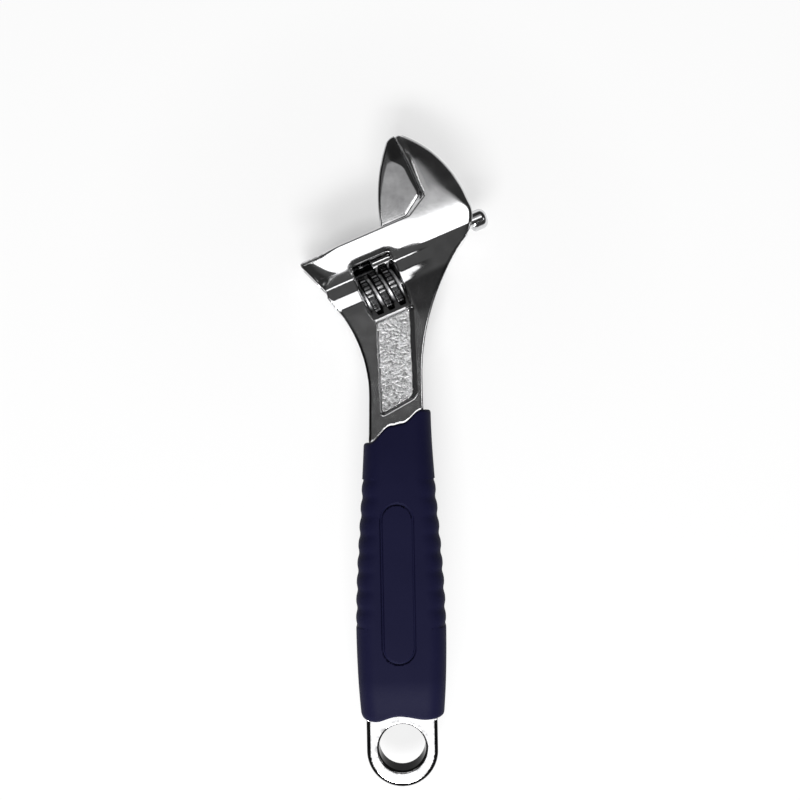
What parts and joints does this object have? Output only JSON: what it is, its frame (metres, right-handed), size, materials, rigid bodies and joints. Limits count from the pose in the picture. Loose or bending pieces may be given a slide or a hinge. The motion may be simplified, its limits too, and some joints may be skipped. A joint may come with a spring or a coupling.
{
  "type": "adjustable wrench",
  "caption": "Adjustable wrench: a forged chrome head with a sliding jaw, moved by a thumb-turned knurl, on a handle with a moulded comfort grip and a hanging ring.",
  "frame": {"origin": "centre of the hanging hole, halfway through the ring's thickness", "axes": "+Y along the handle towards the head, +X towards the fixed jaw's side, +Z out of the front face"},
  "size_m": [0.0597, 0.2061, 0.018],
  "materials": {
    "forged_chrome": "polished chrome plate over a forging, satin on the neck and rough in the sunk panels",
    "jaw_chrome": "polished chrome plate, ground on the jaw's face",
    "knurl_chrome": "chrome plate over turned and knurled steel",
    "pin_steel": "turned steel, plated",
    "spring_wire": "drawn spring wire",
    "navy_vinyl": "dark navy moulded soft vinyl, satin with a fine grain"
  },
  "bodies": {
    "handle": {"body": "forged_chrome", "knurl_pin": "pin_steel", "knurl_spring": "spring_wire", "grip": "navy_vinyl"},
    "movable_jaw": {"movable_jaw": "jaw_chrome"},
    "knurl": {"knurl": "knurl_chrome"}
  },
  "joints": [
    {"name": "jaw_slide", "type": "slide", "parent": "handle", "child": "movable_jaw", "axis": [-0.9239, -0.3827, 0], "range_m": [0, 0.027]},
    {"name": "knurl_spin", "type": "hinge", "parent": "handle", "child": "knurl", "pos_m": [-0.0038, 0.1445, 0], "axis": [0.9239, 0.3827, 0], "range_deg": [0, 2530]}
  ],
  "couplings": [
    {"joint": "knurl_spin", "follows": "jaw_slide", "rad_per_m": 1632}
  ]
}
